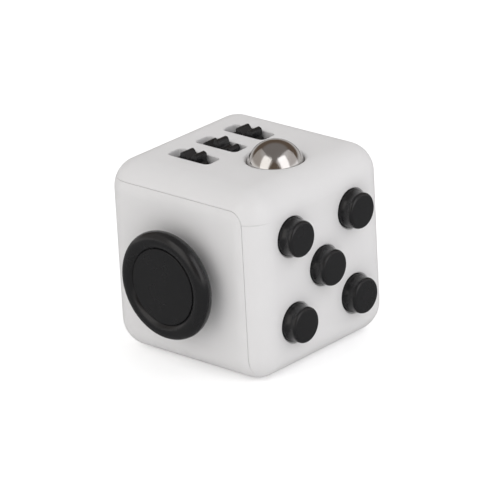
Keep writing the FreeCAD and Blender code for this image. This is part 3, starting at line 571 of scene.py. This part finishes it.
@dataclass
class Studio:
    """The pale floor, the soft lights and the surroundings."""

    floor_radius: float = 3.0
    floor_colour: Colour = (0.93, 0.93, 0.93)
    floor_mirrored: Colour = (0.25, 0.25, 0.25)
    floor_lift: float = 0.30
    floor_glow: float = 0.16
    dome: Colour = (0.44, 0.44, 0.44)
    overhead: Colour = (0.225, 0.205, 0.195)
    back_wall: Colour = (0.135, 0.10, 0.075)
    skirting: Colour = (0.62, 0.60, 0.59)
    backdrop: Colour = (1.0, 1.0, 1.0)

    def build(self) -> None:
        """Makes the floor, the lights and the world."""
        self._floor()
        self._world()
        for light in (
            Softbox("left_softbox", -33.0, 33.0, 90.0, 56.0, 0.30, (1.0, 0.985, 0.965)),
            Softbox("left_softbox_middle", -6.0, 35.0, 36.0, 48.0, 0.93, (1.0, 0.985, 0.965)),
            Softbox("right_softbox", 106.0, 33.0, 84.0, 58.0, 0.46, (0.985, 0.98, 1.0)),
            Softbox("right_softbox_middle", 84.0, 35.0, 34.0, 48.0, 1.04, (0.985, 0.98, 1.0)),
            Softbox("left_fill", -15.0, 7.0, 70.0, 12.0, 0.5, mirrored=False),
            Softbox("right_fill", 98.0, 7.0, 70.0, 12.0, 0.5, mirrored=False),
            Softbox("top_softbox", 20.0, 85.0, 60.0, 60.0, 0.26, mirrored=False),
            Softbox("back_softbox", 215.0, 32.0, 120.0, 50.0, 0.50, mirrored=False),
        ):
            light.place()

    def _floor(self) -> None:
        """Makes the round floor that the cube stands on."""
        mesh = bmesh.new()
        bmesh.ops.create_circle(mesh, cap_ends=True, radius=self.floor_radius, segments=96)
        data = bpy.data.meshes.new("floor")
        mesh.to_mesh(data)
        mesh.free()
        made, graph, shader = _blank("pale_floor")
        rays = graph.node("ShaderNodeLightPath")
        colour = graph.blend(rays.outputs["Is Glossy Ray"], self.floor_colour, self.floor_mirrored)
        lift = graph.math("MULTIPLY", rays.outputs["Is Camera Ray"], self.floor_lift)
        glow = graph.math("MULTIPLY", rays.outputs["Is Diffuse Ray"], self.floor_glow)
        _feed(graph, shader, Base_Color=colour, Emission_Strength=graph.math("ADD", lift, glow))
        shader.inputs["Emission Color"].default_value = (1.0, 1.0, 1.0, 1.0)
        shader.inputs["Roughness"].default_value = 0.9
        shader.inputs["Specular IOR Level"].default_value = 0.1
        data.materials.append(made)
        floor = bpy.data.objects.new("floor", data)
        floor.location.z = -0.02 * MM
        bpy.context.scene.collection.objects.link(floor)

    def _world(self) -> None:
        """Makes the surroundings: an even dome of light, and a dim warm room to reflect."""
        world = bpy.data.worlds.new("studio")
        world.use_nodes = True
        world.node_tree.nodes.clear()
        graph = Graph(world.node_tree)
        direction = graph.node("ShaderNodeTexCoord").outputs["Generated"]
        height = graph.node("ShaderNodeSeparateXYZ", None, Vector=direction).outputs[2]
        room = graph.blend(graph.step(height, 0.60, 0.82), self.back_wall, self.overhead)
        room = graph.blend(graph.step(height, 0.12, 0.30), self.skirting, room)
        rays = graph.node("ShaderNodeLightPath")
        colour = graph.blend(rays.outputs["Is Glossy Ray"], self.dome, room)
        colour = graph.blend(rays.outputs["Is Camera Ray"], colour, self.backdrop)
        shader = graph.node("ShaderNodeBackground", None, Color=colour)
        graph.node("ShaderNodeOutputWorld", None, Surface=shader.outputs[0])
        bpy.context.scene.world = world


# ------------------------------------------------------------------ sub-assemblies
@dataclass
class Casing:
    """The two interlocking halves of the cube."""

    def build(self) -> None:
        """Dresses both halves."""
        dress(("upper_shell", "lower_shell"), Finish.CASING)


@dataclass
class ButtonFace:
    """Five push buttons, their springs, domes and backing plate."""

    pitch: float = 7.45 * MM
    base_radius: float = 3.2 * MM
    neck_radius: float = 2.86 * MM
    cap_radius: float = 3.04 * MM
    height: float = 2.4 * MM
    neck_height: float = 1.36 * MM
    flange_radius: float = 4.0 * MM
    flange_top: float = -3.05 * MM
    flange_low: float = -3.95 * MM
    flange_round: float = 0.15 * MM
    post_radius: float = 1.1 * MM
    post_low: float = -6.95 * MM
    post_round: float = 0.3 * MM
    edge: float = 0.55 * MM
    foot: float = 0.18 * MM
    crease: float = 0.07 * MM

    def build(self) -> None:
        """Makes the buttons and dresses what is behind them."""
        for name, right, up in (("front_top", -1, 1), ("back_top", 1, 1), ("middle", 0, 0),
                                ("front_bottom", -1, -1), ("back_bottom", 1, -1)):
            finish_piece(self._cap(), "cap_" + name, Face.RIGHT.matrix(right * self.pitch, up * self.pitch),
                         Finish.CONTROL, f"button_{name}_body", "button_" + name)
            dress((f"button_spring_{name}",), Finish.SPRING)
        dress(("click_dome_front_top", "click_dome_middle", "click_dome_back_bottom"), Finish.SPRING)
        dress(("button_plate",), Finish.INNER)
        dress(("button_plate_screws",), Finish.SCREW)

    def _cap(self) -> bmesh.types.BMesh:
        """Turns one cap: a flat top, a hollow flank that flares to its foot, a flange and a post.

        Returns:
            The cap's mesh.
        """
        edge, crease = self.edge, self.crease
        post_end, rim = self.post_radius - self.post_round, self.flange_radius - self.flange_round
        profile = Turning(0.0, self.post_low).line(post_end, self.post_low)
        profile.arc(post_end, self.post_low + self.post_round, 90, 5)
        profile.line(self.post_radius, self.flange_low).line(rim, self.flange_low)
        profile.arc(rim, self.flange_low + self.flange_round, 90, 4)
        profile.line(self.flange_radius, self.flange_top).line(self.base_radius, self.flange_top)
        profile.line(self.base_radius, self.foot)
        rise, inset = self.neck_height - self.foot, self.base_radius - self.neck_radius
        hollow = (rise ** 2 + inset ** 2) / (2 * inset)
        swing = math.degrees(math.asin(rise / hollow))
        profile.arc(self.neck_radius + hollow, self.neck_height, -swing, 12)
        profile.arc(self.neck_radius + crease, self.neck_height, -90, 5)
        profile.line(self.cap_radius - crease, self.neck_height + crease)
        profile.arc(self.cap_radius - crease, self.neck_height + 2 * crease, 90, 5)
        profile.line(self.cap_radius, self.height - edge)
        profile.arc(self.cap_radius - edge, self.height - edge, 90, 12)
        profile.line(0.0, self.height)
        return profile.turn()


@dataclass
class Joystick:
    """The dished thumb disc on its ball, with its spring, washer and screw."""

    rim_radius: float = 7.75 * MM
    rim_roll: float = 1.5 * MM
    rim_height: float = 3.35 * MM
    dish_radius: float = 6.47 * MM
    dish_height: float = 4.45 * MM
    drop: float = 0.6 * MM
    back_height: float = 2.1 * MM
    back_slope: float = 0.6 * MM
    neck_radius: float = 2.6 * MM
    rim_end: float = 146.0
    lip: float = 0.09 * MM
    pivot: float = -1.2 * MM
    ball_radius: float = 3.6 * MM
    ball_end: float = -3.4 * MM
    stem_radius: float = 1.7 * MM
    stem_end: float = -8.65 * MM

    def build(self) -> None:
        """Makes the disc and dresses what holds it."""
        finish_piece(self._disc(), "dished_disc", Face.FRONT.matrix(0.0, -self.drop), Finish.CONTROL, "stick",
                     "thumb_disc")
        dress(("joystick_spring",), Finish.SPRING)
        dress(("joystick_washer",), Finish.INNER)
        dress(("joystick_screw",), Finish.SCREW)

    def _disc(self) -> bmesh.types.BMesh:
        """Turns the stem, ball, neck and dished disc in one.

        Returns:
            The disc's mesh.
        """
        drop = self.ball_end - self.pivot
        ball_foot = math.sqrt(self.ball_radius ** 2 - drop ** 2)
        low = math.degrees(math.asin(drop / self.ball_radius))
        neck, slope, lip = self.neck_radius, self.back_slope, self.lip
        high = math.degrees(math.acos(neck / self.ball_radius))
        profile = Turning(0.0, self.stem_end)
        profile.line(self.stem_radius, self.stem_end).line(self.stem_radius, self.ball_end)
        profile.line(ball_foot, self.ball_end).arc(0.0, self.pivot, high - low, 24)
        profile.line(neck, self.back_height - slope).line(neck + slope, self.back_height)
        join = self.rim_radius - math.sqrt(self.rim_roll ** 2 - (self.rim_height - self.back_height) ** 2)
        profile.line(join, self.back_height)
        start = math.degrees(math.atan2(self.back_height - self.rim_height, join - self.rim_radius))
        profile.arc(self.rim_radius, self.rim_height, self.rim_end - start, 44)
        profile.line(self.dish_radius, self.dish_height - 1.6 * lip)
        profile.line(self.dish_radius, self.dish_height - lip)
        profile.arc(self.dish_radius - lip, self.dish_height - lip, 90, 6)
        profile.line(self.dish_radius * 0.6, self.dish_height - 0.02 * MM)
        profile.line(0.0, self.dish_height - 0.03 * MM)
        return profile.turn(192)


@dataclass
class GearRow:
    """Three toothed wheels on one axle, and the cradle under them."""

    teeth: int = 9
    tip: float = 4.25 * MM
    root: float = 3.05 * MM
    bore: float = 0.8 * MM
    width: float = 2.5 * MM
    pitch: float = 6.8 * MM
    row: float = -4.65 * MM
    depth: float = 3.2 * MM
    side_round: float = 0.3 * MM
    tip_share: float = 0.22
    flank_share: float = 0.58
    crown_drop: float = 0.08 * MM
    crown_share: float = 0.3
    steps_per_tooth: int = 30

    def build(self) -> None:
        """Makes the wheels and dresses what carries them."""
        sink = Matrix.Translation((0, 0, -self.depth))
        for name, turn, along in (("front", 0.5, -1), ("middle", 0.0, 0), ("back", 0.5, 1)):
            finish_piece(self._wheel(turn), "toothed_wheel_" + name,
                         Face.TOP.matrix(self.row, along * self.pitch) @ sink,
                         Finish.CONTROL, "gear_" + name, "gear_wheel_" + name)
        dress(("gear_axle",), Finish.AXLE)
        dress(("gear_cradle",), Finish.INNER)
        dress(("gear_cradle_screws",), Finish.SCREW)

    def _radius(self, angle: float) -> float:
        """Gives the wheel's outline.

        Args:
            angle: Angle from the middle of a tooth, in radians.

        Returns:
            The outline's radius there.
        """
        pitch = math.tau / self.teeth
        share = abs((angle / pitch + 0.5) % 1.0 - 0.5) * 2
        flank = min(max((share - self.tip_share) / self.flank_share, 0.0), 1.0)
        fall = flank * flank * (3 - 2 * flank)
        crown = self.crown_drop * min(share / self.crown_share, 1.0) ** 2
        return self.tip - crown * (1 - fall) - (self.tip - self.root) * fall

    def _wheel(self, turn: float) -> bmesh.types.BMesh:
        """Makes one wheel.

        Args:
            turn: How far it is turned, in tooth pitches.

        Returns:
            The wheel's mesh, about its own Y axis.
        """
        mesh = bmesh.new()
        count = self.teeth * self.steps_per_tooth
        lay = Matrix.Rotation(math.pi / 2, 4, "X")
        rings = [bmesh.ops.create_circle(mesh, segments=count, radius=radius, matrix=lay)["verts"]
                 for radius in (self.tip, self.bore)]
        for vert in rings[0]:
            angle = math.atan2(vert.co.x, vert.co.z)
            vert.co *= self._radius(angle - turn * math.tau / self.teeth) / self.tip
        bridged = bmesh.ops.bridge_loops(mesh, edges=mesh.edges[:])
        sides = bmesh.ops.extrude_face_region(mesh, geom=bridged["faces"])
        moved = [item for item in sides["geom"] if isinstance(item, bmesh.types.BMVert)]
        bmesh.ops.translate(mesh, verts=moved, vec=(0, self.width, 0))
        bmesh.ops.translate(mesh, verts=mesh.verts, vec=(0, -self.width / 2, 0))
        bmesh.ops.recalc_face_normals(mesh, faces=mesh.faces)
        outer = [edge for edge in mesh.edges if self._on_side(edge)]
        bmesh.ops.bevel(mesh, geom=outer, offset=self.side_round, offset_type="OFFSET", segments=4,
                        profile=0.5, affect="EDGES", material=-1, clamp_overlap=True)
        return mesh

    def _on_side(self, edge: bmesh.types.BMEdge) -> bool:
        """Tells whether an edge runs round the outline on either flat side."""
        flat = all(abs(abs(vert.co.y) - self.width / 2) < 1e-7 for vert in edge.verts)
        return flat and all(math.hypot(vert.co.x, vert.co.z) > self.root * 0.9 for vert in edge.verts)


@dataclass
class RollingBall:
    """The polished ball with its cup, spring and housing."""

    def build(self) -> None:
        """Dresses the ball and what carries it."""
        dress(("steel_ball",), Finish.BALL)
        dress(("ball_cup", "ball_housing"), Finish.INNER)
        dress(("ball_spring",), Finish.SPRING)
        dress(("ball_housing_screws",), Finish.SCREW)


@dataclass
class SpinDial:
    """The dial on the back face."""

    def build(self) -> None:
        """Dresses the dial, its washer and its screw."""
        dress(("spin_dial",), Finish.CONTROL)
        dress(("dial_washer",), Finish.INNER)
        dress(("dial_screw",), Finish.SCREW)


@dataclass
class RockerSwitch:
    """The rocker on the left face."""

    def build(self) -> None:
        """Dresses the rocker and its bracket."""
        dress(("rocker",), Finish.CONTROL)
        dress(("rocker_pin",), Finish.AXLE)
        dress(("rocker_bracket",), Finish.INNER)
        dress(("rocker_bracket_screws",), Finish.SCREW)
        dress(("rocker_leaf_spring",), Finish.SPRING)


def main() -> None:
    """Builds the camera, the studio and every sub-assembly."""
    Viewpoint().place()
    Studio().build()
    for part in (Casing(), ButtonFace(), Joystick(), GearRow(), RollingBall(), SpinDial(), RockerSwitch()):
        LOG.info("building %s", type(part).__name__)
        part.build()
    bpy.context.scene.view_settings.view_transform = "Standard"


if __name__ == "__main__":
    main()
